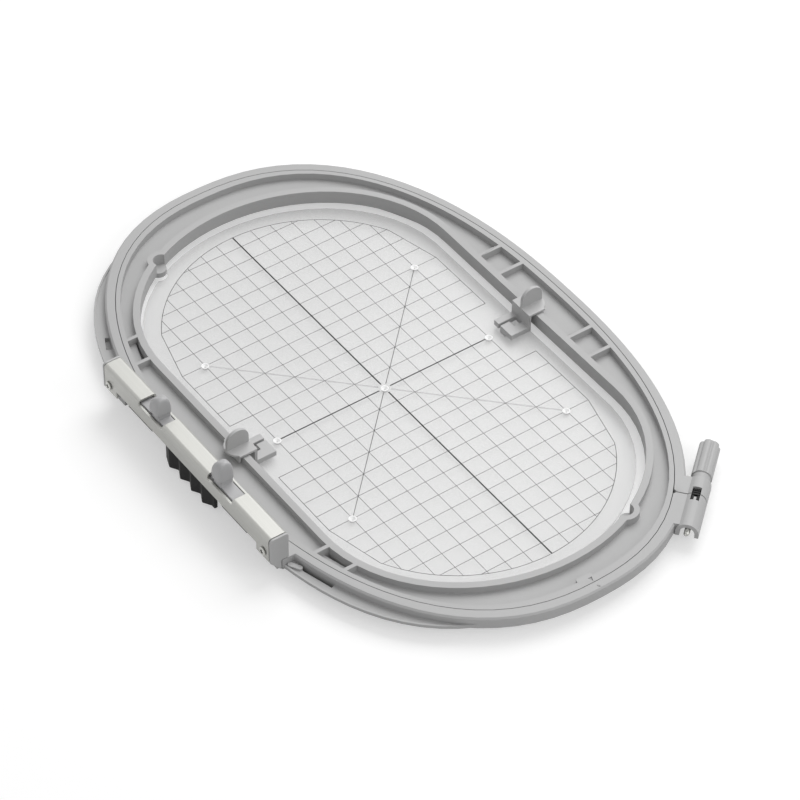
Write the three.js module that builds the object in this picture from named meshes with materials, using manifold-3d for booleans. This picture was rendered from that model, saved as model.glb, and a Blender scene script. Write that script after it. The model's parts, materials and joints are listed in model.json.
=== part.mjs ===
// Machine embroidery hoop: an outer hoop with a screw clamp, an inner hoop, a clear placing template
// with two clips, and the side rail by which the hoop is coupled to the machine's carriage.
// Millimetres, +Z up. The origin is the middle of the ring, on the table that the hoop lies on.
// +X runs along the long axis towards the clamp's end, and the rail is on the -Y side.
import * as THREE from "three";
import { mergeVertices } from "three/addons/utils/BufferGeometryUtils.js";
import Module from "manifold-3d";

// Clearances
const gap = 0.3; // between pieces that touch
const splitGap = 0.5; // across the cut in the outer hoop
const overlap = 0.4; // how far joined shapes of one piece reach into each other

// Heights above the table
const hoopTop = 12.2;
const flangeBottom = 5.4;
const floorTop = 8.5;
const floorThickness = 1.5;
const ledgeTop = 8.0;
const ledgeThickness = 1.2;

// The line where the two hoops part, from which the other outlines take their places
const parting = { halfLength: 156.6, halfWidth: 101, power: 2.33 };
const outerRim = { atEnds: 4.9, atSides: 4, power: 2.36 };
const innerRim = { atEnds: 3.7, atSides: 3.1, power: 2.4 };
const channel = { atEnds: 11.3, atSides: 13.7 };
const ledgeReach = { atEnds: -7.5, atSides: 3.5, power: 2.8 };
const gripWall = 1.8; // the two walls that pinch the cloth
const gripInset = 4.3; // how far they stand in from the parting line
const edgeChamfer = 0.8;
const ringSteps = 120;

const outerEdge = {
  halfLength: parting.halfLength + outerRim.atEnds,
  halfWidth: parting.halfWidth + outerRim.atSides,
  power: outerRim.power,
};
const channelEdge = {
  halfLength: parting.halfLength - innerRim.atEnds,
  halfWidth: parting.halfWidth - innerRim.atSides,
  power: innerRim.power,
};
const ledgeEdge = {
  halfLength: outerEdge.halfLength + ledgeReach.atEnds,
  halfWidth: outerEdge.halfWidth + ledgeReach.atSides,
  power: ledgeReach.power,
};

// Window, with straight sides and half ellipses for its ends
const rimWidth = 3.4;
const rimBottom = 4.9;
const straightShare = 0.428; // of the hoop's length
const windowStraight = straightShare * parting.halfLength;
const window = {
  straight: windowStraight,
  reach: channelEdge.halfLength - channel.atEnds - rimWidth - windowStraight,
  halfWidth: channelEdge.halfWidth - channel.atSides - rimWidth,
};

// Cross ribs in the channel
const ribThickness = 1.9;
const farRibs = [27, 42.7];
const nearRibs = [72.7, 88.7];
const pocketFloor = 5.6;
const pocketFloorThickness = 1.2;
const pocketMargin = 0.2; // of floor left along a pocket's long sides

// Finger bays in the window's rim at two opposite corners, each with a round step low in it
const bayAngles = [27.3, 212.3]; // round the window's end, from its middle line
const bay = { radius: 4, wall: 2.7, outward: -0.6 };
const step = { radius: 4, bottom: 3.6, top: 6.5, outward: 1.1 };

// Ledge, its lip and its pockets
const ledgeLip = { width: 0.9, height: 0.5 };
const seatFront = outerEdge.halfWidth;
const leftPocket = { x: -95, inset: 8.5, length: 8.4, width: 4.4, turn: -0.47 };
const rightPocket = { x: 81, inset: 6.7, length: 20, width: 2.8, turn: 0.29 };

// Template
const templateShift = -2.5;
const templateClearance = { atEnds: 3.2, atSides: 1.8 };
const template = {
  straight: window.straight,
  reach: window.reach - templateClearance.atEnds,
  halfWidth: window.halfWidth - templateClearance.atSides,
};
const templateTop = 2.0;
const templateThickness = 1.5;
const markRadius = 1.5;
const markSpacing = 60;

// Template clips
const clipShift = -0.3;
const clipHalfWidth = 6.8;
const clipLeg = { thickness: 1.5, standOff: 2.8 };
const clipPlate = 1.3;
const clipDisc = { radius: 6.9, out: 1.6 };
const prong = { reach: 10.2, bottom: 1.5, top: 4.5, leftWidth: 3.6, rightWidth: 5 }; // above the template
const tongue = { length: 5.4, gap: 1.2 };
const paddle = { x: -0.2, thickness: 1.7, width: 11.8, height: 9.6, out: 2.1 };

// Side rail
const railHalfLength = 68.5;
const railWidth = 9.8;
const railClearance = 0.55;
const railTop = 27.3;
const coverBottom = 17.4;
const lobeBottom = 13.2;
const lobeLength = 11.3; // of the cover's deeper ends
const lobeInner = railHalfLength - lobeLength;
const coverWall = 1.2;
const coverRadius = 2;
const endPlate = 1.2;
const gussetFoot = 6.3;
const notchInner = 18.5;
const notchOuter = 38;
const notchDepth = 2.6;
const railBack = -(parting.halfWidth - gap / 2 + railClearance);
const railFront = railBack - railWidth;
const coverScrew = { fromEnd: 5.4, z: 17.3, radius: 1.2, head: 2.1, headHeight: 0.8, length: 5.5 };
const baseScrew = { fromEnd: 6.5, inset: 6.8, radius: 1.1, head: 2.1, headHeight: 1.6, top: 14.8 };
const screwSeat = { length: 9.4, fromEnd: 1.6, margin: 2.5 };

// Sliders, springs and latches inside the rail
const carrierTop = 17.1;
const carrierHalfLength = lobeInner - 0.8;
const stopHalfWidth = 2;
const sliderTop = 25.2;
const sliderInner = 12.8;
const sliderLength = 28.6;
const sliderTravel = 3;
const rod = { radius: 0.9, z: 21.3, halfLength: 26 };
const rodRunningGap = 0.3;
const springTurns = 7;
const springRadius = 1.8;
const springWire = 0.3;
const springEnd = 17;
const tabs = [
  { side: "left", sign: -1, x: -25, height: 11.5 },
  { side: "right", sign: 1, x: 25.6, height: 12.7 },
];
const tab = { lead: 1.9, trail: 6.8, neck: 3.8, halfWidth: 4.1, neckHeight: 2.6 };
const latch = { from: 28.5, to: 48.5, height: 2.1, inset: 0.9, depth: 2.4 };

// Coupling comb under the rail
const combHalfLength = 20;
const combTeeth = 4;
const combPitch = 9;
const combDepth = 2.5;
const combBottom = 2;
const combTop = 15.2;
const combReach = 4.4;

// Clamp
const clampAt = THREE.MathUtils.degToRad(29.19); // where the lugs leave the ring, from its long axis
const clampTurn = THREE.MathUtils.degToRad(49.75); // the screw's slant
const clampStandOff = 6.55; // from the ring's edge to the screw's axis
const clampHeight = 8;
const lug = { radius: 5.3, rise: 0.4, drop: 1.8 };
const hoodWall = 1.9;
const splitAt = 11.1;
const hoodEnd = 31.4;
const clampWindow = { from: 7, to: 15.2, halfWidth: 2 };
const screwRadius = 1.4;
const screwBoreGap = 0.4;
const screwTail = 32;
const knob = { radius: 4.9, flutes: 6, fluteDepth: 0.6, length: 26.3 };
const knobCollar = { length: 4.5, radius: 4.4 };
const knobChamfer = { length: 1.9, radius: 2.7 };
const nut = { from: 16.9, length: 2.8, halfWidth: 2.5 };
const nutWall = 1.2;
const retainer = { collar: 3.6, above: 2.6, slot: 1.1 };

const wasm = await Module();
wasm.setup();

const greyPlastic = new THREE.MeshStandardMaterial({ color: 0xb4b4b5, roughness: 0.55, metalness: 0 });
const darkPlastic = new THREE.MeshStandardMaterial({ color: 0x97989b, roughness: 0.5, metalness: 0 });
const clearPlastic = new THREE.MeshStandardMaterial({ color: 0xe6e8e6, roughness: 0.15, metalness: 0 });
const blackPlastic = new THREE.MeshStandardMaterial({ color: 0x1d1c1b, roughness: 0.6, metalness: 0 });
const aluminium = new THREE.MeshStandardMaterial({ color: 0xd7d7d1, roughness: 0.35, metalness: 1 });
const steel = new THREE.MeshStandardMaterial({ color: 0xb9b7ae, roughness: 0.3, metalness: 1 });

// A closed geometry as a solid for joining and cutting.
function solid(geometry) {
  const bare = new THREE.BufferGeometry();
  bare.setAttribute("position", geometry.getAttribute("position").clone());
  if (geometry.index) bare.setIndex(geometry.index.clone());
  const merged = mergeVertices(bare, 1e-4);
  return new wasm.Manifold(
    new wasm.Mesh({
      numProp: 3,
      vertProperties: new Float32Array(merged.attributes.position.array),
      triVerts: new Uint32Array(merged.index.array),
    }),
  );
}

// A solid as a named mesh in the group.
const hoop = new THREE.Group();
function piece(name, body, material, parent = hoop) {
  const made = body.getMesh();
  const positions = new Float32Array(made.numVert * 3);
  for (let i = 0; i < made.numVert; i++) {
    positions.set(made.vertProperties.subarray(i * made.numProp, i * made.numProp + 3), i * 3);
  }
  const geometry = new THREE.BufferGeometry();
  geometry.setAttribute("position", new THREE.BufferAttribute(positions, 3));
  geometry.setIndex(new THREE.BufferAttribute(made.triVerts, 1));
  geometry.computeVertexNormals();
  const mesh = new THREE.Mesh(geometry, material);
  mesh.name = name;
  parent.add(mesh);
  return mesh;
}

function box(x0, x1, y0, y1, z0, z1) {
  const geometry = new THREE.BoxGeometry(x1 - x0, y1 - y0, z1 - z0);
  geometry.translate((x0 + x1) / 2, (y0 + y1) / 2, (z0 + z1) / 2);
  return solid(geometry);
}

// A round bar along X, Y or Z, from one value of that coordinate to another.
function bar(axis, radius, from, to, a, b, sides = 20) {
  const geometry = new THREE.CylinderGeometry(radius, radius, to - from, sides);
  const middle = (from + to) / 2;
  if (axis === "x") geometry.rotateZ(Math.PI / 2).translate(middle, a, b);
  if (axis === "y") geometry.translate(a, middle, b);
  if (axis === "z") geometry.rotateX(Math.PI / 2).translate(a, b, middle);
  return solid(geometry);
}

function extrude(shape, from, to, curveSegments = 8) {
  const geometry = new THREE.ExtrudeGeometry(shape, {
    depth: to - from,
    bevelEnabled: false,
    curveSegments,
  });
  return geometry.translate(0, 0, from);
}

// A flat shape drawn in X and Y, standing from one height to another.
function slab(shape, from, to) {
  return solid(extrude(shape, from, to));
}

// A shape drawn as (y, z), running along X.
function alongX(shape, from, to) {
  const geometry = extrude(shape, from, to);
  const turn = new THREE.Matrix4().set(0, 0, 1, 0, 1, 0, 0, 0, 0, 1, 0, 0, 0, 0, 0, 1);
  return solid(geometry.applyMatrix4(turn));
}

// Outlines are functions of the angle about Z.
function oval({ halfLength, halfWidth, power }, grow = 0) {
  return (angle) => {
    const c = Math.abs(Math.cos(angle) / (halfLength + grow));
    const s = Math.abs(Math.sin(angle) / (halfWidth + grow));
    const radius = Math.pow(Math.pow(c, power) + Math.pow(s, power), -1 / power);
    return new THREE.Vector2(radius * Math.cos(angle), radius * Math.sin(angle));
  };
}

// Two straight sides joined by half ellipses.
function roundEnded({ straight, reach, halfWidth }, grow = 0) {
  const endReach = reach + grow;
  const half = halfWidth + grow;
  return (angle) => {
    const c = Math.abs(Math.cos(angle));
    const s = Math.abs(Math.sin(angle));
    let radius = half / Math.max(s, 1e-9);
    if (radius * c > straight) {
      const a = (c / endReach) ** 2 + (s / half) ** 2;
      const b = (-2 * c * straight) / endReach ** 2;
      const d = (straight / endReach) ** 2 - 1;
      radius = (-b + Math.sqrt(b * b - 4 * a * d)) / (2 * a);
    }
    return new THREE.Vector2(radius * Math.cos(angle), radius * Math.sin(angle));
  };
}

function outlineShape(outline, steps = ringSteps) {
  const points = [];
  for (let i = 0; i < steps; i++) points.push(outline((i / steps) * 2 * Math.PI));
  return new THREE.Shape(points);
}

// A ring whose section is a closed list of [outline, height], anticlockwise with the outside on the right.
function ring(section) {
  const corners = section.length;
  const positions = [];
  const indices = [];
  for (let i = 0; i < ringSteps; i++) {
    const angle = (i / ringSteps) * 2 * Math.PI;
    for (const [outline, height] of section) {
      const at = outline(angle);
      positions.push(at.x, at.y, height);
    }
    const next = ((i + 1) % ringSteps) * corners;
    for (let k = 0; k < corners; k++) {
      const a = i * corners + k;
      const b = next + k;
      const c = next + ((k + 1) % corners);
      const d = i * corners + ((k + 1) % corners);
      indices.push(a, b, c, a, c, d);
    }
  }
  const geometry = new THREE.BufferGeometry();
  geometry.setAttribute("position", new THREE.BufferAttribute(new Float32Array(positions), 3));
  geometry.setIndex(indices);
  return solid(geometry);
}

// A closed skin over rings of points, lowest first, each anticlockwise from above.
function loft(rings) {
  const count = rings[0].length;
  const positions = rings.flat().flatMap((p) => [p.x, p.y, p.z]);
  const indices = [];
  for (let k = 0; k + 1 < rings.length; k++) {
    for (let i = 0; i < count; i++) {
      const a = k * count + i;
      const b = k * count + ((i + 1) % count);
      indices.push(a, b, b + count, a, b + count, a + count);
    }
  }
  const last = (rings.length - 1) * count;
  for (let i = 1; i + 1 < count; i++) {
    indices.push(0, i + 1, i, last, last + i, last + i + 1);
  }
  const geometry = new THREE.BufferGeometry();
  geometry.setAttribute("position", new THREE.BufferAttribute(new Float32Array(positions), 3));
  geometry.setIndex(indices);
  return solid(geometry);
}

const coverScrewX = railHalfLength - coverScrew.fromEnd;
const baseScrewX = railHalfLength - baseScrew.fromEnd;
const baseScrewY = railFront + baseScrew.inset;

// Shared outlines
const rimOuter = roundEnded(window, rimWidth);
const innerWallOuter = oval(parting, -gap / 2 - gripInset);
const innerWallInner = oval(parting, -gap / 2 - gripInset - gripWall);
const outerWebInner = oval(parting, gap / 2 - gripInset);
const outerWebOuter = oval(parting, gap / 2 - gripInset + gripWall);
const floorBottom = floorTop - floorThickness;

function innerHoop() {
  const windowEdge = roundEnded(window);
  let body = ring([
    [windowEdge, rimBottom],
    [rimOuter, rimBottom],
    [rimOuter, floorBottom],
    [innerWallInner, floorBottom],
    [innerWallInner, 0],
    [innerWallOuter, 0],
    [innerWallOuter, floorBottom],
    [oval(parting, -gap / 2), floorBottom],
    [oval(parting, -gap / 2), hoopTop],
    [oval(channelEdge), hoopTop],
    [oval(channelEdge), floorTop],
    [rimOuter, floorTop],
    [rimOuter, hoopTop],
    [windowEdge, hoopTop],
  ]);

  // Ribs cross the channel in pairs, with a deep pocket between the two of a pair.
  const below = pocketFloor - pocketFloorThickness;
  const channelFrom = (z0, z1) =>
    slab(outlineShape(oval(channelEdge, overlap)), z0, z1).subtract(
      slab(outlineShape(roundEnded(window, rimWidth - overlap)), z0 - 1, z1 + 1),
    );
  const hollowFrom = (z0, z1) =>
    slab(outlineShape(oval(parting, -gap / 2 - gripInset - overlap)), z0, z1).subtract(
      slab(outlineShape(roundEnded(window, rimWidth - overlap)), z0 - 1, z1 + 1),
    );
  const crossed = channelFrom(floorBottom, hoopTop);
  const underCrossed = hollowFrom(below, floorBottom + overlap);
  const pocketEdge = oval(parting, -gap / 2 - gripInset - gripWall - pocketMargin);
  const pocketSpace = slab(outlineShape(pocketEdge), 0, hoopTop).subtract(
    slab(outlineShape(roundEnded(window, rimWidth + pocketMargin)), -1, hoopTop + 1),
  );
  const half = ribThickness / 2;
  for (const [ribs, y0, y1] of [
    [farRibs, 60, 120],
    [nearRibs, -120, -60],
  ]) {
    for (const sign of [-1, 1]) {
      const [x0, x1] = ribs.map((x) => x * sign).sort((a, b) => a - b);
      const between = box(x0, x1, y0, y1, floorBottom - overlap, floorTop + overlap);
      body = body.subtract(pocketSpace.intersect(between));
      body = body.add(underCrossed.intersect(box(x0, x1, y0, y1, below, pocketFloor)));
      for (const x of [x0, x1]) {
        body = body.add(crossed.intersect(box(x - half, x + half, y0, y1, 0, hoopTop)));
        body = body.add(underCrossed.intersect(box(x - half, x + half, y0, y1, 0, hoopTop)));
      }
    }
  }

  // The rim loops outwards round each bay, and a low round step stands out of it into the window.
  for (const at of bays(bay.outward)) {
    body = body.add(bar("z", bay.radius + bay.wall, rimBottom, hoopTop, at.x, at.y, 24));
  }
  for (const at of bays(bay.outward)) {
    body = body.subtract(bar("z", bay.radius, -1, hoopTop + 1, at.x, at.y, 24));
  }
  body = body.subtract(slab(outlineShape(windowEdge), -1, hoopTop + 1));
  for (const at of bays(step.outward)) {
    body = body.add(bar("z", step.radius, step.bottom, step.top, at.x, at.y, 20));
  }
  return body;
}

// Points near the window's edge at the two bays, moved outwards by a distance.
function bays(outward) {
  return bayAngles.map((degrees) => {
    const turn = THREE.MathUtils.degToRad(degrees);
    const direction = new THREE.Vector2(Math.cos(turn), Math.sin(turn));
    const side = Math.sign(direction.x);
    const across = new THREE.Vector2(
      side * window.straight + window.reach * direction.x,
      window.halfWidth * direction.y,
    );
    return across.addScaledVector(direction, outward);
  });
}

function pocketCut({ x, inset, length, width, turn }) {
  const edge = oval(ledgeEdge);
  const angle = Math.atan2(-ledgeEdge.halfWidth, x);
  const y = edge(angle).y + inset;
  const geometry = new THREE.BoxGeometry(length, width, hoopTop);
  return solid(geometry.rotateZ(turn).translate(x, y, ledgeTop));
}

function ledge() {
  const lipTop = ledgeTop + ledgeLip.height;
  const ledgeBottom = ledgeTop - ledgeThickness;
  const lip = slab(outlineShape(oval(ledgeEdge)), ledgeBottom, lipTop).subtract(
    slab(outlineShape(oval(ledgeEdge, -ledgeLip.width)), ledgeBottom - 1, lipTop + 1),
  );
  const reach = outerEdge.halfLength;
  const wings = box(-reach, -railHalfLength + overlap, -reach, -reach / 4, 0, lipTop).add(
    box(railHalfLength - overlap, reach, -reach, -reach / 4, 0, lipTop),
  );
  return slab(outlineShape(oval(ledgeEdge)), ledgeBottom, ledgeTop)
    .add(lip)
    .subtract(slab(outlineShape(oval(outerEdge, -edgeChamfer - overlap)), 0, lipTop + 1))
    .subtract(pocketCut(leftPocket))
    .subtract(pocketCut(rightPocket))
    .intersect(wings);
}

// The clamp is drawn with its screw along X and the knob's foot at the origin, then turned into place.
const clampBase = clampPoint();
const clampPlace = new THREE.Matrix4().makeRotationZ(-clampTurn).setPosition(clampBase);

function clampPoint() {
  const edge = oval(outerEdge)(clampAt);
  const x = edge.x + clampStandOff * Math.sin(clampTurn);
  const y = edge.y + clampStandOff * Math.cos(clampTurn);
  return new THREE.Vector3(x, y, clampHeight);
}

function placed(body) {
  return body.transform(clampPlace.elements);
}

function lugShape(radius, drop) {
  const shape = new THREE.Shape();
  shape.moveTo(-radius, -drop).lineTo(radius, -drop).lineTo(radius, lug.rise);
  shape.absarc(0, lug.rise, radius, 0, Math.PI, false);
  shape.closePath();
  return shape;
}

// The hollow under the hood, which the ring leaves free too.
const hoodInner = lug.radius - hoodWall;

function hoodRoom() {
  return alongX(lugShape(hoodInner, lug.drop + 1), splitAt - 1, hoodEnd + 1);
}

function clampLugs() {
  const bore = bar("x", screwRadius + screwBoreGap, -1, hoodEnd + 1, 0, 0, 16);
  const bridgeLow = flangeBottom - clampHeight;
  const bridgeHigh = hoopTop - clampHeight;
  const inward = -clampStandOff - outerRim.atSides;
  const { from, to, halfWidth } = clampWindow;
  const nearLug = alongX(lugShape(lug.radius, lug.drop), 0, splitAt).add(
    box(0, splitAt, inward, -lug.radius / 2, bridgeLow, bridgeHigh),
  );
  const wall = alongX(lugShape(hoodInner + overlap, lug.drop), to, to + nutWall);
  const hood = alongX(lugShape(lug.radius, lug.drop), splitAt, hoodEnd)
    .add(box(splitAt, hoodEnd - 1, inward, -lug.radius / 2, bridgeLow, bridgeHigh))
    .subtract(hoodRoom())
    .add(wall);
  return nearLug
    .add(hood)
    .subtract(bore)
    .subtract(box(from, to, -halfWidth, halfWidth, -halfWidth, lug.radius + lug.rise + 1));
}

function outerHoop() {
  const webTop = floorBottom - gap;
  let body = ring([
    [outerWebInner, 0],
    [outerWebOuter, 0],
    [outerWebOuter, flangeBottom],
    [oval(outerEdge, -edgeChamfer), flangeBottom],
    [oval(outerEdge), flangeBottom + edgeChamfer],
    [oval(outerEdge), hoopTop - edgeChamfer],
    [oval(outerEdge, -edgeChamfer), hoopTop],
    [oval(parting, gap / 2), hoopTop],
    [oval(parting, gap / 2), webTop],
    [outerWebInner, webTop],
  ]);
  body = body.add(ledge());

  // The seat under the rail is as high as the ring.
  const inside = slab(outlineShape(oval(parting, gap / 2 + overlap)), 0, hoopTop + 1);
  const seat = box(-railHalfLength, railHalfLength, -seatFront, -window.halfWidth, flangeBottom + edgeChamfer, hoopTop);
  body = body.add(seat.subtract(inside));
  for (const sign of [-1, 1]) {
    const seatEnd = railHalfLength - screwSeat.fromEnd;
    const [x0, x1] = [(seatEnd - screwSeat.length) * sign, seatEnd * sign].sort((a, b) => a - b);
    const bottom = flangeBottom + edgeChamfer;
    const front = railFront + baseScrew.inset - screwSeat.margin;
    body = body.add(box(x0, x1, front, -seatFront + overlap, bottom, hoopTop));
  }
  body = body.subtract(placed(hoodRoom())).add(placed(clampLugs()).subtract(inside));

  // The ring is cut through at the clamp, and bored for the rail's two screws.
  const [cutIn, cutOut] = [-clampStandOff - outerRim.atEnds - gripInset - gripWall - 2, lug.radius + 2];
  const cut = box(splitAt - splitGap / 2, splitAt + splitGap / 2, cutIn, cutOut, -clampHeight - 1, cutOut);
  body = body.subtract(placed(cut));
  for (const sign of [-1, 1]) {
    const x = baseScrewX * sign;
    const headTop = flangeBottom + baseScrew.headHeight + gap;
    body = body.subtract(bar("z", baseScrew.head + gap, 0, headTop, x, baseScrewY, 16));
    body = body.subtract(bar("z", baseScrew.radius + gap, 0, hoopTop + 1, x, baseScrewY, 16));
  }
  return body;
}

function templatePlate() {
  let body = slab(outlineShape(roundEnded(template), 96), templateTop - templateThickness, templateTop);
  const marks = [[0, 0]];
  for (const sign of [-1, 1]) {
    marks.push([0, sign * markSpacing]);
    marks.push([markSpacing, sign * markSpacing], [-markSpacing, sign * markSpacing]);
  }
  for (const [x, y] of marks) {
    body = body.subtract(bar("z", markRadius, -1, templateTop + 1, x, y, 12));
  }
  body = body.translate([templateShift, 0, 0]);
  for (const at of bays(step.outward)) {
    body = body.subtract(bar("z", step.radius + gap, -1, templateTop + 1, at.x, at.y, 20));
  }
  return body;
}

// A clip, drawn for the far side: it lies on the template, climbs over the rim and carries a paddle.
function templateClip() {
  const windowFace = window.halfWidth;
  const rimBack = windowFace + rimWidth + gap;
  const legBack = windowFace - clipLeg.standOff;
  const legFront = legBack - clipLeg.thickness;
  const [from, to] = [-clipHalfWidth, clipHalfWidth];
  const underside = hoopTop + gap;
  const top = underside + clipPlate;
  const prongEnd = legFront - prong.reach;
  const [prongBottom, prongTop] = [templateTop + prong.bottom, templateTop + prong.top];
  const outerLeg = rimBack + clipLeg.thickness;
  const rightFrom = to - prong.rightWidth;
  const tongueFrom = from + prong.leftWidth + tongue.gap;
  let body = box(from, to, legFront, legBack, prongBottom, top)
    .add(box(from, to, legFront, outerLeg, underside, top))
    .add(box(from + 1, to - 1, rimBack, outerLeg, floorTop + gap, top))
    .add(box(from, from + prong.leftWidth, prongEnd, legFront + overlap, prongBottom, prongTop))
    .add(box(rightFrom, to, prongEnd, legFront + overlap, prongBottom, prongTop))
    .add(box(tongueFrom, rightFrom + overlap, prongEnd, prongEnd + tongue.length, templateTop + gap, prongTop));
  body = body.add(bar("z", clipDisc.radius, underside, top, 0, windowFace + clipDisc.out, 32));

  // The paddle has a round top.
  const middle = windowFace + paddle.out;
  const radius = paddle.width / 2;
  const shape = new THREE.Shape();
  const shoulder = top + paddle.height - radius;
  shape.moveTo(middle - radius, top - overlap).lineTo(middle + radius, top - overlap);
  shape.lineTo(middle + radius, shoulder);
  shape.absarc(middle, shoulder, radius, 0, Math.PI, false);
  shape.closePath();
  const half = paddle.thickness / 2;
  return body.add(alongX(shape, paddle.x - half, paddle.x + half)).translate([clipShift, 0, 0]);
}

// The rail's section, as (y, z), with rounded top corners.
function railShape(inset, bottom) {
  const front = railFront + inset;
  const back = railBack - inset;
  const top = railTop - inset;
  const radius = Math.max(coverRadius - inset, 0.3);
  const shape = new THREE.Shape();
  shape.moveTo(front, bottom).lineTo(back, bottom).lineTo(back, top - radius);
  shape.absarc(back - radius, top - radius, radius, 0, Math.PI / 2, false);
  shape.lineTo(front + radius, top);
  shape.absarc(front + radius, top - radius, radius, Math.PI / 2, Math.PI, false);
  shape.closePath();
  return shape;
}

const seatTop = hoopTop + gap;
const coverHalf = railHalfLength - endPlate - gap;

function railCover() {
  const inner = alongX(railShape(coverWall, seatTop - 2), -coverHalf - 1, coverHalf + 1);
  let body = alongX(railShape(0, seatTop), -coverHalf, coverHalf).subtract(inner);
  const front = [railFront - 1, (railFront + railBack) / 2];
  body = body.subtract(box(-coverHalf - 1, coverHalf + 1, ...front, 0, lobeBottom));
  body = body.subtract(box(-lobeInner, lobeInner, ...front, 0, coverBottom));
  for (const sign of [-1, 1]) {
    const [x0, x1] = [notchInner * sign, notchOuter * sign].sort((a, b) => a - b);
    body = body.subtract(box(x0, x1, railFront - 1, railBack + 1, railTop - notchDepth, railTop + 1));
    const hole = bar("y", coverScrew.radius + gap, railFront - 1, front[1], coverScrewX * sign, coverScrew.z, 14);
    body = body.subtract(hole);
  }
  return body;
}

function railEndBlock(sign) {
  const inset = coverWall + gap;
  const plateShape = new THREE.Shape();
  const radius = coverRadius;
  const seatEdge = -seatFront - gap;
  plateShape.moveTo(seatEdge, gussetFoot).lineTo(seatEdge, seatTop).lineTo(railBack, seatTop);
  plateShape.lineTo(railBack, railTop - radius);
  plateShape.absarc(railBack - radius, railTop - radius, radius, 0, Math.PI / 2, false);
  plateShape.lineTo(railFront + radius, railTop);
  plateShape.absarc(railFront + radius, railTop - radius, radius, Math.PI / 2, Math.PI, false);
  plateShape.lineTo(railFront, lobeBottom).closePath();
  let body = alongX(plateShape, railHalfLength - endPlate, railHalfLength);
  body = body.add(alongX(railShape(inset, seatTop), lobeInner + gap, railHalfLength - endPlate / 2));
  const bore = coverScrew.radius + gap;
  const boreEnd = railFront + coverScrew.length + gap;
  body = body.subtract(bar("y", bore, railFront, boreEnd, coverScrewX, coverScrew.z, 14));
  const up = baseScrew.top + gap;
  body = body.subtract(bar("z", baseScrew.radius + gap, 0, up, baseScrewX, baseScrewY, 14));
  return sign > 0 ? body : body.mirror([1, 0, 0]);
}

function coverScrewBody(sign) {
  const headFrom = railFront - gap - coverScrew.headHeight;
  const x = coverScrewX * sign;
  return bar("y", coverScrew.head, headFrom, railFront - gap, x, coverScrew.z, 20).add(
    bar("y", coverScrew.radius, railFront - gap - 0.2, railFront + coverScrew.length, x, coverScrew.z, 12),
  );
}

function baseScrewBody(sign) {
  const x = baseScrewX * sign;
  const headTop = flangeBottom + baseScrew.headHeight;
  return bar("z", baseScrew.head, flangeBottom, headTop, x, baseScrewY, 18).add(
    bar("z", baseScrew.radius, headTop - 0.2, baseScrew.top, x, baseScrewY, 12),
  );
}

const insideFront = railFront + coverWall + gap;
const insideBack = railBack - coverWall - gap;
const rodY = (insideFront + insideBack) / 2;
const carrierFront = insideFront + latch.depth - 0.6;

function sliderCarrier() {
  const base = box(-carrierHalfLength, carrierHalfLength, carrierFront, insideBack, seatTop, carrierTop);
  const stop = box(-stopHalfWidth, stopHalfWidth, insideFront, insideBack, carrierTop - overlap, sliderTop);
  const rodHole = bar("x", rod.radius + rodRunningGap, -stopHalfWidth - 1, stopHalfWidth + 1, rodY, rod.z, 14);
  const combRoom = box(
    templateShift - combHalfLength - gap,
    templateShift + combHalfLength + gap,
    insideFront - 1,
    -seatFront + gap,
    seatTop - 1,
    combTop + gap,
  );
  return base.add(stop).subtract(rodHole).subtract(combRoom);
}

// The thumb tab: a neck that stands in the cover's notch, and above the cover a head that is steep on
// one side, slopes on the other and rounds over at the top.
function thumbTab({ x, height }) {
  const rings = [];
  const levels = 8;
  const sides = 24;
  const headBottom = sliderTop + tab.neckHeight;
  const headHeight = height - tab.neckHeight;
  for (let k = 0; k <= levels; k++) {
    const rise = Math.sin((k / levels) * (Math.PI / 2) * 0.97);
    const steep = Math.pow(1 - Math.pow(rise, 3.4), 1 / 3.4);
    const slope = Math.pow(1 - Math.pow(rise, 2), 1 / 2);
    const across = Math.pow(1 - Math.pow(rise, 2.6), 1 / 2.6);
    const points = [];
    for (let i = 0; i < sides; i++) {
      const angle = (i / sides) * 2 * Math.PI;
      const reach = Math.cos(angle) > 0 ? tab.lead * steep : tab.trail * slope;
      const corner = Math.pow(Math.abs(Math.cos(angle)), 4) + Math.pow(Math.abs(Math.sin(angle)), 4);
      const square = Math.pow(corner, -1 / 4);
      points.push(
        new THREE.Vector3(
          x + reach * square * Math.cos(angle),
          rodY + tab.halfWidth * across * square * Math.sin(angle),
          headBottom + headHeight * rise,
        ),
      );
    }
    rings.push(points);
  }
  const neckDepth = tab.halfWidth * 0.8;
  const neck = box(
    x - tab.neck,
    x + tab.lead - 0.4,
    rodY - neckDepth,
    rodY + neckDepth,
    sliderTop - overlap,
    headBottom + overlap,
  );
  return loft(rings).add(neck);
}

function releaseSlider(side) {
  const { sign } = side;
  const [x0, x1] = [sliderInner * sign, (sliderInner + sliderLength) * sign].sort((a, b) => a - b);
  const bottom = carrierTop + gap;
  const body = box(x0, x1, insideFront, insideBack, bottom, sliderTop).add(thumbTab(side));
  const boreEnd = (rod.halfLength + sliderTravel + 1) * sign;
  const springRoom = (springEnd + sliderTravel + 1) * sign;
  const [b0, b1] = [(sliderInner - 1) * sign, boreEnd].sort((a, b) => a - b);
  const [s0, s1] = [(sliderInner - 1) * sign, springRoom].sort((a, b) => a - b);
  return body
    .subtract(bar("x", rod.radius + rodRunningGap, b0, b1, rodY, rod.z, 14))
    .subtract(bar("x", springRadius + springWire + gap, s0, s1, rodY, rod.z, 18));
}

function latchBar(sign) {
  const [x0, x1] = [latch.from * sign, latch.to * sign].sort((a, b) => a - b);
  const top = carrierTop;
  return box(x0, x1, railFront + latch.inset, carrierFront - gap, top - latch.height, top);
}

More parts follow.
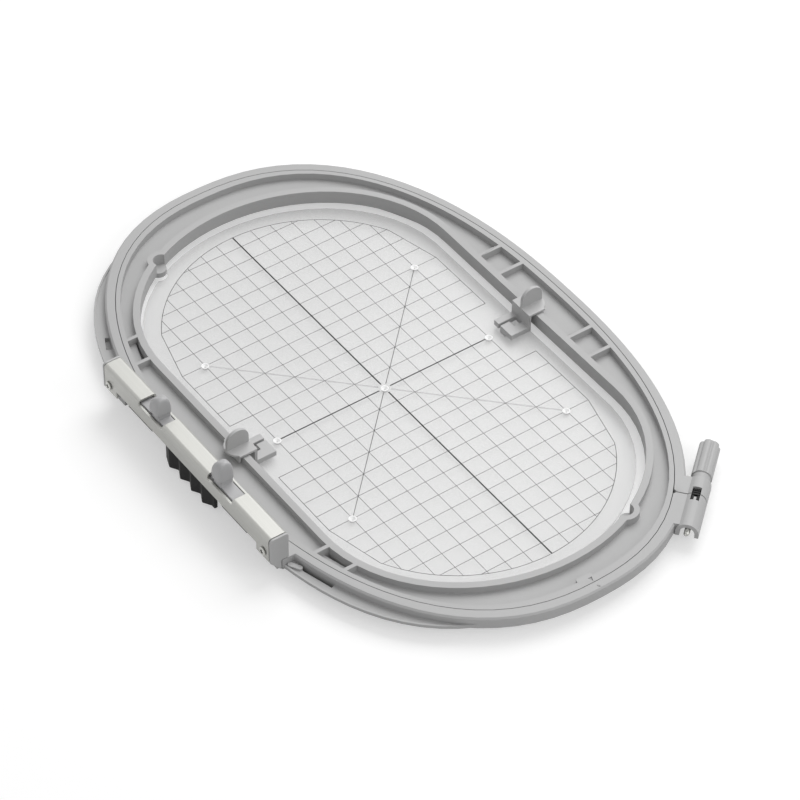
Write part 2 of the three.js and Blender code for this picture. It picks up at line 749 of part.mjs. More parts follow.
class Coil extends THREE.Curve {
  constructor(from, to) {
    super();
    this.from = from;
    this.to = to;
  }
  getPoint(t, target = new THREE.Vector3()) {
    const angle = t * springTurns * 2 * Math.PI;
    return target.set(
      THREE.MathUtils.lerp(this.from, this.to, t),
      rodY + springRadius * Math.cos(angle),
      rod.z + springRadius * Math.sin(angle),
    );
  }
}

function releaseSpring(sign) {
  const inner = stopHalfWidth + gap + springWire;
  const outer = springEnd - springWire;
  const section = new THREE.Shape();
  section.absarc(0, 0, springWire, 0, 2 * Math.PI, false);
  const geometry = new THREE.ExtrudeGeometry(section, {
    steps: springTurns * 8,
    curveSegments: 5,
    bevelEnabled: false,
    extrudePath: new Coil(inner * sign, outer * sign),
  });
  return solid(geometry);
}

function couplingComb() {
  const back = -seatFront - gap;
  const tips = back - combReach;
  const shape = new THREE.Shape();
  shape.moveTo(-combHalfLength, back);
  shape.lineTo(-combHalfLength, tips + combDepth);
  const first = -((combTeeth - 1) / 2) * combPitch;
  for (let i = 0; i < combTeeth; i++) {
    const tip = first + i * combPitch;
    shape.lineTo(tip, tips);
    shape.lineTo(tip + combPitch * 0.45, tips + combDepth);
  }
  shape.lineTo(combHalfLength, tips + combDepth);
  shape.lineTo(combHalfLength, back);
  shape.closePath();
  return slab(shape, combBottom, combTop).translate([templateShift, 0, 0]);
}

function knobShape() {
  const points = [];
  const sides = knob.flutes * 8;
  for (let i = 0; i < sides; i++) {
    const angle = (i / sides) * 2 * Math.PI;
    const dip = Math.pow(Math.abs(Math.cos((angle * knob.flutes) / 2)), 5);
    const radius = knob.radius - knob.fluteDepth * dip;
    points.push(new THREE.Vector2(radius * Math.cos(angle), radius * Math.sin(angle)));
  }
  return new THREE.Shape(points);
}

// The knob runs from its collar at the lug out to a chamfered end, with flutes between.
const knobFoot = -gap;
const knobEnd = knobFoot - knob.length;

function clampKnob() {
  const body = alongX(knobShape(), knobEnd, knobFoot - knobCollar.length + overlap);
  const profile = [
    [0, knobEnd],
    [knobChamfer.radius, knobEnd],
    [knob.radius, knobEnd + knobChamfer.length],
    [knob.radius, knobFoot - knobCollar.length],
    [knobCollar.radius, knobFoot],
    [0, knobFoot],
  ].map(([r, x]) => new THREE.Vector2(r, x));
  const outline = solid(new THREE.LatheGeometry(profile, 36).rotateZ(-Math.PI / 2));
  const collar = outline.intersect(box(knobFoot - knobCollar.length, knobFoot + 1, -9, 9, -9, 9));
  return body
    .intersect(outline)
    .add(collar)
    .subtract(bar("x", screwRadius + gap, knobEnd + 4, knobFoot + 1, 0, 0, 14));
}

function clampScrew() {
  return bar("x", screwRadius, knobEnd + 5, screwTail, 0, 0, 14);
}

function pierced(body, radius, from, to) {
  return body.subtract(bar("x", radius, from - 1, to + 1, 0, 0, 14));
}

function clampNut() {
  const { from, length, halfWidth } = nut;
  const block = box(from, from + length, -halfWidth, halfWidth, -halfWidth, halfWidth * 0.6);
  return pierced(block, screwRadius + gap, from, from + length);
}

// A forked clip in the clamp's window: its collar holds the screw, and its prongs reach over the cut.
function clampRetainer() {
  const from = clampWindow.from + gap;
  const to = clampWindow.to - gap;
  const half = clampWindow.halfWidth - gap;
  const body = box(from, to, -half, half, -half, retainer.above);
  const slot = box(from + retainer.collar, to + 1, -retainer.slot / 2, retainer.slot / 2, 0, lug.radius);
  return pierced(body.subtract(slot), screwRadius + 0.15, from, to);
}

// Assembly, with the origin below the middle of the whole hoop
hoop.position.y = (gap + coverScrew.headHeight - railFront - outerEdge.halfWidth) / 2;
piece("outer_hoop", outerHoop(), greyPlastic);
piece("inner_hoop", innerHoop(), greyPlastic);

const templateGroup = new THREE.Group();
hoop.add(templateGroup);
piece("template_plate", templatePlate(), clearPlastic, templateGroup);
piece("template_clip_far", templateClip(), darkPlastic, templateGroup);
piece("template_clip_near", templateClip().mirror([0, 1, 0]), darkPlastic, templateGroup);

const rail = new THREE.Group();
hoop.add(rail);
piece("rail_cover", railCover(), aluminium, rail);
piece("slider_carrier", sliderCarrier(), greyPlastic, rail);
piece("guide_rod", bar("x", rod.radius, -rod.halfLength, rod.halfLength, rodY, rod.z, 12), steel, rail);
piece("coupling_comb", couplingComb(), blackPlastic, rail);
for (const side of tabs) {
  piece("rail_end_block_" + side.side, railEndBlock(side.sign), greyPlastic, rail);
  piece("cover_screw_" + side.side, coverScrewBody(side.sign), steel, rail);
  piece("base_screw_" + side.side, baseScrewBody(side.sign), steel, rail);
  piece("release_slider_" + side.side, releaseSlider(side), darkPlastic, rail);
  piece("latch_bar_" + side.side, latchBar(side.sign), blackPlastic, rail);
  piece("release_spring_" + side.side, releaseSpring(side.sign), steel, rail);
}

const clamp = new THREE.Group();
clamp.position.copy(clampBase);
clamp.rotation.z = -clampTurn;
hoop.add(clamp);
piece("clamp_screw", clampScrew(), steel, clamp);
piece("clamp_knob", clampKnob(), greyPlastic, clamp);
piece("clamp_nut", clampNut(), steel, clamp);
piece("clamp_retainer", clampRetainer(), blackPlastic, clamp);

export default hoop;
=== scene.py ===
"""The looks of a machine embroidery hoop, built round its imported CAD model, in metres, +Z up."""

import json
import math

import bpy
from mathutils import Matrix, Vector


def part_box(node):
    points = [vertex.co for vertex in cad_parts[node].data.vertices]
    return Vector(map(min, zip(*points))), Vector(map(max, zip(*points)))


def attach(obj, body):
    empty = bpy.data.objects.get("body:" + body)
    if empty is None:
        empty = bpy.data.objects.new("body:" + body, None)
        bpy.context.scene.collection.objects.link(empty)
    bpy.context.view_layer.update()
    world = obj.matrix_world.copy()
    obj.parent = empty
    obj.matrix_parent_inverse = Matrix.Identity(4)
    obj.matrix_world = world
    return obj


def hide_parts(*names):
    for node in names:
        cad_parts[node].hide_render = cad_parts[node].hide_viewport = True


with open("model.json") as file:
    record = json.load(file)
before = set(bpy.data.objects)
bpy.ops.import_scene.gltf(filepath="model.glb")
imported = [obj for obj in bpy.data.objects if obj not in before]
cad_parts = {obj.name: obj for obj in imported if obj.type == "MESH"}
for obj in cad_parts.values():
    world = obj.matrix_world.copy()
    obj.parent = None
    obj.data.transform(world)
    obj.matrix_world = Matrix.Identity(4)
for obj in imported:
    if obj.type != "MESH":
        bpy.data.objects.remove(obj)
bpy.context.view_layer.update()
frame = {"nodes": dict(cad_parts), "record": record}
nodes = frame["nodes"]

# Sizes below are in millimetres unless a line says otherwise, and MM turns them to metres.
MM = 0.001

# Colours and nodes


def linear(code):
    """An sRGB hex colour as the linear values that a shader takes."""
    out = []
    for i in (0, 2, 4):
        c = int(code[i : i + 2], 16) / 255
        out.append(c / 12.92 if c <= 0.04045 else ((c + 0.055) / 1.055) ** 2.4)
    return (*out, 1.0)


def tinted(colour, factor):
    """A linear colour, made a little darker or lighter."""
    return (*[min(1.0, c * factor) for c in colour[:3]], 1.0)


def pattern_scale(size):
    """The scale of a noise whose forms are size millimetres wide."""
    return 1 / (size * MM)


def new_material(name):
    material = bpy.data.materials.new(name)
    material.use_nodes = True
    material.node_tree.nodes.clear()
    return material


def add_node(holder, kind, settings=None, **inputs):
    """Adds a node. settings are its properties. An input is named for its socket, or n and the socket's
    number, and is a value or another node's output socket."""
    node = holder.node_tree.nodes.new(kind)
    for key, value in (settings or {}).items():
        setattr(node, key, value)
    for key, value in inputs.items():
        name = key.replace("_", " ")
        socket = node.inputs[int(name[1:]) if name[0] == "n" and name[1:].isdigit() else name]
        if isinstance(value, bpy.types.NodeSocket):
            holder.node_tree.links.new(value, socket)
        else:
            socket.default_value = value
    return node


def blend_colours(ramp, low, high):
    """Lets a colour ramp go from one colour to another over the middle of a noise's range."""
    for stop, place, colour in zip(ramp.color_ramp.elements, (0.3, 0.7), (low, high)):
        stop.position = place
        stop.color = colour


# Injection-moulded ABS or acetal: a satin surface with the grain of a spark-eroded mould, which scatters
# the light evenly and breaks its highlights up. The real grain is finer, and is drawn this coarse to show.
# Slow flow clouds keep a broad face from looking flat.
MOULD_GRAIN = 0.3
FLOW_CLOUD = 55.56


def moulded_plastic(name, colour, roughness, depth=0.16, gloss=0.5):
    m = new_material(name)
    place = add_node(m, "ShaderNodeTexCoord").outputs["Object"]
    grain = add_node(m, "ShaderNodeTexNoise", Vector=place, Scale=pattern_scale(MOULD_GRAIN), Detail=3.0)
    cloud = add_node(m, "ShaderNodeTexNoise", Vector=place, Scale=pattern_scale(FLOW_CLOUD), Detail=4.0)
    shade = add_node(m, "ShaderNodeValToRGB", Fac=cloud.outputs["Fac"])
    blend_colours(shade, tinted(linear(colour), 0.965), tinted(linear(colour), 1.03))
    speck = add_node(
        m,
        "ShaderNodeMapRange",
        Value=grain.outputs["Fac"],
        From_Min=0.35,
        From_Max=0.65,
        To_Min=roughness - 0.05,
        To_Max=roughness + 0.06,
    )
    bump = add_node(m, "ShaderNodeBump", Height=grain.outputs["Fac"], Distance=0.04 * MM, Strength=depth)
    shader = add_node(
        m,
        "ShaderNodeBsdfPrincipled",
        Base_Color=shade.outputs["Color"],
        Roughness=speck.outputs["Result"],
        Normal=bump.outputs["Normal"],
        IOR=1.54,
        Specular_IOR_Level=gloss,
    )
    add_node(m, "ShaderNodeOutputMaterial", Surface=shader.outputs["BSDF"])
    return m


hoop_plastic = moulded_plastic("moulded ABS, light grey", "b0b0b0", 0.52)
clip_plastic = moulded_plastic("moulded ABS, mid grey", "b7b7b7", 0.42, depth=0.1)
tab_plastic = moulded_plastic("moulded ABS, cool grey", "b3b3b4", 0.42, depth=0.1)
black_plastic = moulded_plastic("moulded acetal, black", "0f0f0f", 0.6, depth=0.1, gloss=0.3)

# Anodised aluminium, drawn: a milky satin skin over the metal, with fine straight lines along its length
# that stretch its highlights across them. The lines are drawn coarser than the real ones, to show.
DRAWN_LINE_LENGTH = 100
DRAWN_LINE_WIDTH = 0.4545


def anodised_aluminium():
    m = new_material("anodised aluminium, drawn")
    place = add_node(m, "ShaderNodeTexCoord").outputs["Object"]
    along, across = pattern_scale(DRAWN_LINE_LENGTH), pattern_scale(DRAWN_LINE_WIDTH)
    stretch = add_node(m, "ShaderNodeMapping", Vector=place, Scale=(along, across, across))
    lines = add_node(m, "ShaderNodeTexNoise", Vector=stretch.outputs["Vector"], Scale=1.0, Detail=2.0)
    tone = add_node(m, "ShaderNodeValToRGB", Fac=lines.outputs["Fac"])
    blend_colours(tone, linear("b1b1ad"), linear("b9b9b5"))
    rough = add_node(m, "ShaderNodeMapRange", Value=lines.outputs["Fac"], To_Min=0.36, To_Max=0.52)
    bump = add_node(m, "ShaderNodeBump", Height=lines.outputs["Fac"], Distance=0.02 * MM, Strength=0.12)
    shader = add_node(
        m,
        "ShaderNodeBsdfPrincipled",
        Base_Color=tone.outputs["Color"],
        Metallic=0.6,
        Roughness=rough.outputs["Result"],
        Normal=bump.outputs["Normal"],
    )
    add_node(m, "ShaderNodeOutputMaterial", Surface=shader.outputs["BSDF"])
    return m


aluminium = anodised_aluminium()

# Nickel-plated steel: bright, with the faint marks of its turning and rolling, drawn coarse to show.
TURNING_MARK = 0.5556


def plated_steel():
    m = new_material("nickel-plated steel, turned")
    place = add_node(m, "ShaderNodeTexCoord").outputs["Object"]
    marks = add_node(m, "ShaderNodeTexNoise", Vector=place, Scale=pattern_scale(TURNING_MARK), Detail=2.0)
    rough = add_node(m, "ShaderNodeMapRange", Value=marks.outputs["Fac"], To_Min=0.16, To_Max=0.32)
    tone = add_node(m, "ShaderNodeValToRGB", Fac=marks.outputs["Fac"])
    blend_colours(tone, linear("b0b0ad"), linear("bcbcb8"))
    shader = add_node(
        m,
        "ShaderNodeBsdfPrincipled",
        Base_Color=tone.outputs["Color"],
        Metallic=1.0,
        Roughness=rough.outputs["Result"],
    )
    add_node(m, "ShaderNodeOutputMaterial", Surface=shader.outputs["BSDF"])
    return m


steel = plated_steel()

# Clear polycarbonate sheet: the table shows through it a little dulled, under a soft sheen that the sheet's
# long shallow waves move about.
SHEET_WAVE = 111.1


def clear_sheet():
    m = new_material("polycarbonate sheet, clear")
    place = add_node(m, "ShaderNodeTexCoord").outputs["Object"]
    waves = add_node(m, "ShaderNodeTexNoise", Vector=place, Scale=pattern_scale(SHEET_WAVE), Detail=1.0)
    rough = add_node(m, "ShaderNodeMapRange", Value=waves.outputs["Fac"], To_Min=0.16, To_Max=0.26)
    bump = add_node(m, "ShaderNodeBump", Height=waves.outputs["Fac"], Distance=0.2 * MM, Strength=0.2)
    shader = add_node(
        m,
        "ShaderNodeBsdfPrincipled",
        Base_Color=linear("d2d2d2"),
        Roughness=rough.outputs["Result"],
        IOR=1.58,
        Alpha=0.28,
        Normal=bump.outputs["Normal"],
    )
    add_node(m, "ShaderNodeOutputMaterial", Surface=shader.outputs["BSDF"])
    return m


clear_plastic = clear_sheet()

# Screen ink on the sheet: dull, and a little thin in places.
INK_PATCH = 1.4286


def screen_ink(name, colour, cover):
    m = new_material(name)
    place = add_node(m, "ShaderNodeTexCoord").outputs["Object"]
    patch = add_node(m, "ShaderNodeTexNoise", Vector=place, Scale=pattern_scale(INK_PATCH), Detail=2.0)
    tone = add_node(m, "ShaderNodeValToRGB", Fac=patch.outputs["Fac"])
    blend_colours(tone, tinted(linear(colour), 0.9), tinted(linear(colour), 1.1))
    rough = add_node(m, "ShaderNodeMapRange", Value=patch.outputs["Fac"], To_Min=0.5, To_Max=0.7)
    ink = add_node(
        m,
        "ShaderNodeBsdfPrincipled",
        Base_Color=tone.outputs["Color"],
        Roughness=rough.outputs["Result"],
        Alpha=cover,
    )
    add_node(m, "ShaderNodeOutputMaterial", Surface=ink.outputs["BSDF"])
    return m


grid_ink = screen_ink("screen ink, grey", "505050", 0.72)
# This pale grey ink is spread thin over a full millimetre. It paints one pair of diagonals' print together
# with its shadow on the table beneath the sheet, as one wide pale line.
diagonal_ink_with_painted_shadow = screen_ink("screen ink and painted shadow, pale grey", "a8a8a8", 0.18)
axis_ink = screen_ink("screen ink, black", "1c1c1c", 1.0)
white_ink = screen_ink("screen ink, white", "fcfcfc", 1.0)

finishes = {
    "hoop_plastic": hoop_plastic,
    "clip_plastic": clip_plastic,
    "black_plastic": black_plastic,
    "clear_plastic": clear_plastic,
    "cover_aluminium": aluminium,
    "screw_steel": steel,
}
slot_of = {part["node"]: part["material_slot"] for part in frame["record"]["subparts"]}
rides_on = {
    node: body for body, members in frame["record"]["behaviour"]["bodies"].items() for node in members
}
for name, obj in nodes.items():
    obj.data.materials.clear()
    obj.data.materials.append(finishes[slot_of[name]])

# Modelling helpers


def only(obj):
    """Selects one object alone."""
    bpy.ops.object.select_all(action="DESELECT")
    obj.select_set(True)
    bpy.context.view_layer.objects.active = obj


def settle(obj, name, material, body, replaced=None, smooth=30):
    """Names a finished piece, puts its place in its mesh, and lets it ride on its body."""
    only(obj)
    bpy.ops.object.transform_apply(location=True, rotation=True, scale=True)
    bpy.ops.object.shade_smooth_by_angle(angle=math.radians(smooth))
    normals = obj.modifiers.new("normals", "WEIGHTED_NORMAL")
    normals.keep_sharp = True
    bpy.ops.object.modifier_apply(modifier="normals")
    obj.name = name
    obj.data.materials.clear()
    obj.data.materials.append(material)
    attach(obj, body)
    if replaced:
        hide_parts(replaced)
    return obj


def join(objects):
    """Makes several objects one mesh."""
    bpy.ops.object.select_all(action="DESELECT")
    for obj in objects:
        obj.select_set(True)
    bpy.context.view_layer.objects.active = objects[0]
    bpy.ops.object.join()
    return objects[0]


def placed(obj, matrix):
    """Moves an object by a matrix, and puts its new place in its mesh."""
    only(obj)
    obj.matrix_world = matrix @ obj.matrix_world
    bpy.ops.object.transform_apply(location=True, rotation=True, scale=True)
    return obj


def combine(obj, tool, operation):
    """Joins or cuts with another mesh, which is used up."""
    only(obj)
    step = obj.modifiers.new("combine", "BOOLEAN")
    step.operation = operation
    step.solver = "EXACT"
    step.object = tool
    bpy.ops.object.modifier_apply(modifier="combine")
    bpy.data.objects.remove(tool)
    return obj


def round_edges(obj, width):
    """The small radii of a mould, on every edge that turns by more than 35 degrees."""
    only(obj)
    bevel = obj.modifiers.new("edges", "BEVEL")
    bevel.width = width * MM
    bevel.segments = 2
    bevel.limit_method = "ANGLE"
    bevel.angle_limit = math.radians(35)
    bevel.use_clamp_overlap = False
    bevel.miter_outer = "MITER_ARC"
    bpy.ops.object.modifier_apply(modifier="edges")
    return obj


def merged_copy(node):
    """A copy of a CAD piece, its loose triangles merged and paired to flat quads."""
    obj = bpy.data.objects.new(node + "_copy", nodes[node].data.copy())
    bpy.context.scene.collection.objects.link(obj)
    only(obj)
    bpy.ops.object.mode_set(mode="EDIT")
    bpy.ops.mesh.select_all(action="SELECT")
    bpy.ops.mesh.remove_doubles(threshold=0.002 * MM)
    bpy.ops.mesh.tris_convert_to_quads(face_threshold=math.radians(1), shape_threshold=math.pi)
    bpy.ops.object.mode_set(mode="OBJECT")
    return obj


def mend(obj):
    """Clears the few crossed faces that a bevel leaves where many edges meet, and closes the mesh again.
    The second round takes what the first one's fills leave."""
    only(obj)
    bpy.ops.object.mode_set(mode="EDIT")
    bpy.ops.mesh.select_mode(type="VERT")
    for _ in range(2):
        bpy.ops.mesh.select_all(action="DESELECT")
        bpy.ops.mesh.select_non_manifold()
        bpy.ops.mesh.delete(type="VERT")
        bpy.ops.mesh.select_all(action="SELECT")
        bpy.ops.mesh.fill_holes(sides=0)
        bpy.ops.mesh.normals_make_consistent(inside=False)
    bpy.ops.object.mode_set(mode="OBJECT")
    return obj


def moulding(node, name, width, material=None, shape=None):
    """Shows a CAD piece with rounded edges, after shape has worked on it."""
    obj = mend(round_edges(merged_copy(node), width))
    if shape:
        obj = shape(obj)
    slot = slot_of[node]
    return settle(obj, name, material or finishes[slot], rides_on[node], node)


def turned(stations, vertices):
    """A turned solid on Z through stations of radius and height, from its foot to its end."""
    (radius, height), rest = stations[0], stations[1:]
    bpy.ops.object.select_all(action="DESELECT")
    bpy.ops.mesh.primitive_circle_add(
        vertices=vertices, radius=radius * MM, fill_type="NGON", location=(0, 0, height * MM)
    )
    obj = bpy.context.active_object
    bpy.ops.object.transform_apply(location=True)
    bpy.ops.object.mode_set(mode="EDIT")
    bpy.ops.mesh.select_all(action="SELECT")
    for next_radius, next_height in rest:
        bpy.ops.mesh.extrude_region_move(
            TRANSFORM_OT_translate={"value": (0, 0, (next_height - height) * MM)}
        )
        scale = next_radius / radius
        bpy.ops.transform.resize(value=(scale, scale, 1), center_override=(0, 0, next_height * MM))
        radius, height = next_radius, next_height
    bpy.ops.mesh.select_all(action="SELECT")
    bpy.ops.mesh.normals_make_consistent(inside=False)
    bpy.ops.object.mode_set(mode="OBJECT")
    return obj


def block(low, high, radius=0.0, upright=0.0):
    """A moulded block between two corners, its upright edges and then all its edges rounded."""
    low, high = Vector(low), Vector(high)
    bpy.ops.object.select_all(action="DESELECT")
    bpy.ops.mesh.primitive_cube_add(size=1, location=(low + high) / 2 * MM, scale=(high - low) * MM)
    obj = bpy.context.active_object
    bpy.ops.object.transform_apply(location=True, rotation=True, scale=True)
    if upright:
        bpy.ops.object.mode_set(mode="EDIT")
        bpy.ops.mesh.select_all(action="DESELECT")
        bpy.ops.mesh.select_mode(type="EDGE")
        bpy.ops.object.mode_set(mode="OBJECT")
        points = obj.data.vertices
        for edge in obj.data.edges:
            a, b = (points[i].co for i in edge.vertices)
            edge.select = abs(a.z - b.z) > 0.5 * (high.z - low.z) * MM
        bpy.ops.object.mode_set(mode="EDIT")
        bpy.ops.mesh.bevel(offset=upright * MM, segments=5, affect="EDGES")
        bpy.ops.object.mode_set(mode="OBJECT")
    if radius:
        round_edges(obj, radius)
    return obj


def prism(corners, low, high):
    """An upright prism over a plan of corners, between two heights."""
    bpy.ops.object.select_all(action="DESELECT")
    bpy.ops.mesh.primitive_circle_add(
        vertices=len(corners), radius=MM, fill_type="NGON", location=(0, 0, 0)
    )
    obj = bpy.context.active_object
    for point, (x, y) in zip(obj.data.vertices, corners):
        point.co = Vector((x, y, low)) * MM
    bpy.ops.object.mode_set(mode="EDIT")
    bpy.ops.mesh.select_all(action="SELECT")
    bpy.ops.mesh.extrude_region_move(TRANSFORM_OT_translate={"value": (0, 0, (high - low) * MM)})
    bpy.ops.mesh.select_all(action="SELECT")
    bpy.ops.mesh.normals_make_consistent(inside=False)
    bpy.ops.object.mode_set(mode="OBJECT")
    return obj


# The CAD pieces are shown smooth, those inside the rail as they are and the others as copies.
for obj in nodes.values():
    only(obj)
    bpy.ops.object.shade_smooth_by_angle(angle=math.radians(30))

# The clamp's own frame: the screw runs along X, the lug's face is at 0, and the knob is behind it.
CLAMP_TURN = math.radians(-49.75)
SCREW_MIDDLE = 5.2
screw_low, screw_high = (Vector(corner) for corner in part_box("clamp_screw"))
clamp_axis = Vector((math.cos(CLAMP_TURN), math.sin(CLAMP_TURN), 0))
clamp_base = (screw_low + screw_high) / 2 - clamp_axis * SCREW_MIDDLE * MM
clamp_frame = Matrix.Translation(clamp_base) @ Matrix.Rotation(CLAMP_TURN, 4, "Z")
along_screw = clamp_frame @ Matrix.Rotation(math.radians(90), 4, "Y")
along_knob = clamp_frame @ Matrix.Rotation(math.radians(-90), 4, "Y")

# Hoop rings, on heights that part.mjs gives them. At MARK_Y a pair of small sunk arrows, one on each ring,
# shows how they go together.
RING_TOP = 12.2
CHANNEL_FLOOR = 8.5
LEDGE_FOOT = 7.2
RING_EDGE = 0.07
MARK_Y = 2.3
ARROW_HALF_WIDTH = 1


def sunk_arrow(obj, tip, base, depth):
    """Sinks a small arrow into a ring's top, its tip and base at these places along the hoop."""
    half = math.copysign(ARROW_HALF_WIDTH, tip - base)
    plan = [(tip, MARK_Y), (base, MARK_Y + half), (base, MARK_Y - half)]
    return combine(obj, prism(plan, RING_TOP - depth, RING_TOP + 1), "DIFFERENCE")


def inner_details(obj):
    """Floors level with the channel between the far pairs of ribs, and the mark on its pad."""
    plan = [(27.6, 87.6), (42.1, 87.6), (42.1, 96.9), (27.6, 98.2)]
    for side in (-1, 1):
        floor = prism([(side * x, y) for x, y in plan], CHANNEL_FLOOR - 1.1, CHANNEL_FLOOR)
        combine(obj, floor, "UNION")
    # The pad's top stays a hair below the ring's, so that no two faces share a plane.
    pad = block((150.7, MARK_Y - 6.2, 8.0), (154.6, MARK_Y + 2.1, RING_TOP - 0.01), upright=1.3)
    combine(obj, round_edges(pad, 0.25), "UNION")
    return sunk_arrow(obj, 156.1, 153.4, 0.5)


TRAY_WALL = 0.6
TRAY_FLOOR = 0.8


def tray(x, y, length, width, turn, foot):
    """A tray that closes a pocket of the ledge from below. Its length and width are inside its wall."""

    def corners(wall):
        half = Vector((length / 2 + wall, width / 2 + wall))
        spots = [Vector((sx * half.x, sy * half.y)) for sx, sy in ((-1, -1), (1, -1), (1, 1), (-1, 1))]
        return [Vector((x, y)) + Matrix.Rotation(turn, 2) @ spot for spot in spots]

    hollow = prism(corners(0), foot + TRAY_FLOOR, LEDGE_FOOT + 1.8)
    return combine(prism(corners(TRAY_WALL), foot, LEDGE_FOOT), hollow, "DIFFERENCE")


def outer_details(obj):
    """Trays under the ledge's two pockets, a boss beside the rail, and details at the cut and the mark."""
    combine(obj, tray(-95, -87.79, 8.4, 4.4, -0.47, 5.2), "UNION")
    combine(obj, tray(81, -92.38, 20, 2.8, 0.29, 2.6), "UNION")
    boss = block((-3.6, -1.3, 7.0), (3.6, 1.3, 9.1), 0.3, upright=1.2)
    beside_rail = Matrix.Translation(Vector((71.9, -97.0, 0)) * MM) @ Matrix.Rotation(0.52, 4, "Z")
    combine(obj, placed(boss, beside_rail), "UNION")
    tongue = block((12.4, -0.6, 1.7), (15.4, 0.6, 4.7))
    combine(obj, placed(tongue, clamp_frame), "UNION")
    notch_at_cut = prism([(132.1, 66.1), (134.6, 63.6), (134.5, 66.3)], RING_TOP - 1.7, RING_TOP + 1.8)
    combine(obj, notch_at_cut, "DIFFERENCE")
    return sunk_arrow(obj, 158.4, 160.3, 0.4)


moulding("outer_hoop", "outer_hoop_moulding", RING_EDGE, shape=outer_details)
moulding("inner_hoop", "inner_hoop_moulding", RING_EDGE, shape=inner_details)

# Template, its clips and its print
moulding("template_plate", "template_sheet", 0.2)


def flat_face(low, high):
    """Trims a clip's disc flush with the face of its leg, between two places across the hoop."""
    return lambda obj: combine(obj, block((-9, low, 12), (9, high, 14.5)), "DIFFERENCE")


moulding("template_clip_far", "template_clip_far_moulding", 0.3, shape=flat_face(70, 80.15))
moulding("template_clip_near", "template_clip_near_moulding", 0.3, shape=flat_face(-72.85, -62.7))

# The print is laid out from the grid's middle, which is a little to the left of the ring's, on the sheet.
GRID = Vector((-2.5, 3.65, 2.0))
INK = 0.02
GRID_STEP = 10
COLUMNS = 12
ROWS = 6
GRID_LINE = 0.27
EDGE_LINE = 0.3

# Marking holes: one in the middle, and the others MARK_STEP from it along and across. Each has a white ring.
MARK_STEP = 60
MARK_RADIUS = 1.9
HOLE_RADIUS = 1.48
marks = [(0, 0), (0, MARK_STEP), (0, -MARK_STEP)]
marks += [(x, y) for x in (-MARK_STEP, MARK_STEP) for y in (-MARK_STEP, MARK_STEP)]

# The printed field: straight sides, which step in beside the clips, then slanting shoulders, and round ends
# whose arc has its centre and its radius here.
FIELD_SIDE = 72.7
FIELD_STRAIGHT = 60
STEP_SIDE = 60
STEP_HALF_LENGTH = 20
FIELD_SHOULDER = Vector((89.2, 65.4))
ARC_CENTRE, ARC_RADIUS = 53.2, 74.6
ARC_STROKES = 18


def field_half_width(x):
    """How far the printed field reaches from the middle line at x."""
    x = abs(x)
    if x < STEP_HALF_LENGTH:
        return STEP_SIDE
    if x <= FIELD_STRAIGHT:
        return FIELD_SIDE
    if x <= FIELD_SHOULDER.x:
        along = (x - FIELD_STRAIGHT) / (FIELD_SHOULDER.x - FIELD_STRAIGHT)
        return FIELD_SIDE + (FIELD_SHOULDER.y - FIELD_SIDE) * along
    return math.sqrt(ARC_RADIUS**2 - (x - ARC_CENTRE) ** 2)


def field_reach(y):
    """How far the printed field reaches along the long axis at y."""
    return ARC_CENTRE + math.sqrt(ARC_RADIUS**2 - y**2)


def stroke(a, b, width):
    """A flat printed line from a to b, in millimetres on the grid."""
    a, b = Vector((*a, 0)), Vector((*b, 0))
    middle = (a + b) / 2 + GRID + Vector((0, 0, INK / 2))
    bpy.ops.mesh.primitive_cube_add(
        size=1,
        location=middle * MM,
        rotation=(0, 0, math.atan2(b.y - a.y, b.x - a.x)),
        scale=((b - a).length * MM, width * MM, INK * MM),
    )
    obj = bpy.context.active_object
    bpy.ops.object.transform_apply(location=True, rotation=True, scale=True)
    return obj


def strokes(a, b, width):
    """A printed line that leaves out the marks on its way."""
    a, b = Vector(a), Vector(b)
    along = (b - a).normalized()
    near = 0.1
    shortest = 0.2
    cuts = []
    for mark in marks:
        off = Vector(mark) - a
        at = off.dot(along)
        if (off - along * at).length < near and -near < at < (b - a).length + near:
            cuts.append(at)
    ends = [0.0]
    for at in sorted(cuts):
        ends += [at - MARK_RADIUS, at + MARK_RADIUS]
    ends.append((b - a).length)
    pairs = zip(ends[::2], ends[1::2])
    return [stroke(a + along * p, a + along * q, width) for p, q in pairs if q - p > shortest]


def both_ways(count):
    """The grid's lines on both sides of an axis, without the axis itself."""
    return [k * GRID_STEP for k in range(-count, count + 1) if k]


def printed_grid():
    """The grid's lines, and the line round the printed field."""
    lines = []
    for x in both_ways(COLUMNS):
        reach = field_half_width(x)
        lines += strokes((x, -reach), (x, reach), GRID_LINE)
    for y in both_ways(ROWS):
        reach = field_reach(y)
        lines += strokes((-reach, y), (reach, y), GRID_LINE)
    start = math.asin(FIELD_SHOULDER.y / ARC_RADIUS)
    arc = [start * (1 - i / ARC_STROKES) for i in range(ARC_STROKES + 1)]
    edge = [(STEP_HALF_LENGTH, FIELD_SIDE), (FIELD_STRAIGHT, FIELD_SIDE)]
    edge += [(ARC_CENTRE + ARC_RADIUS * math.cos(a), ARC_RADIUS * math.sin(a)) for a in arc]
    for sx in (-1, 1):
        for sy in (-1, 1):
            for (x0, y0), (x1, y1) in zip(edge, edge[1:]):
                lines.append(stroke((sx * x0, sy * y0), (sx * x1, sy * y1), EDGE_LINE))
            step = sx * STEP_HALF_LENGTH
            lines.append(stroke((step, sy * STEP_SIDE), (step, sy * FIELD_SIDE), GRID_LINE))
    settle(join(lines), "printed_grid", grid_ink, "template")


def printed_lines(name, ink, width, ends, last):
    """Lines from just outside the middle mark towards each of ends, as far as last."""
    first = 3
    lines = [stroke(Vector(e).normalized() * first, Vector(e).normalized() * last, width) for e in ends]
    settle(join(lines), name, ink, "template")


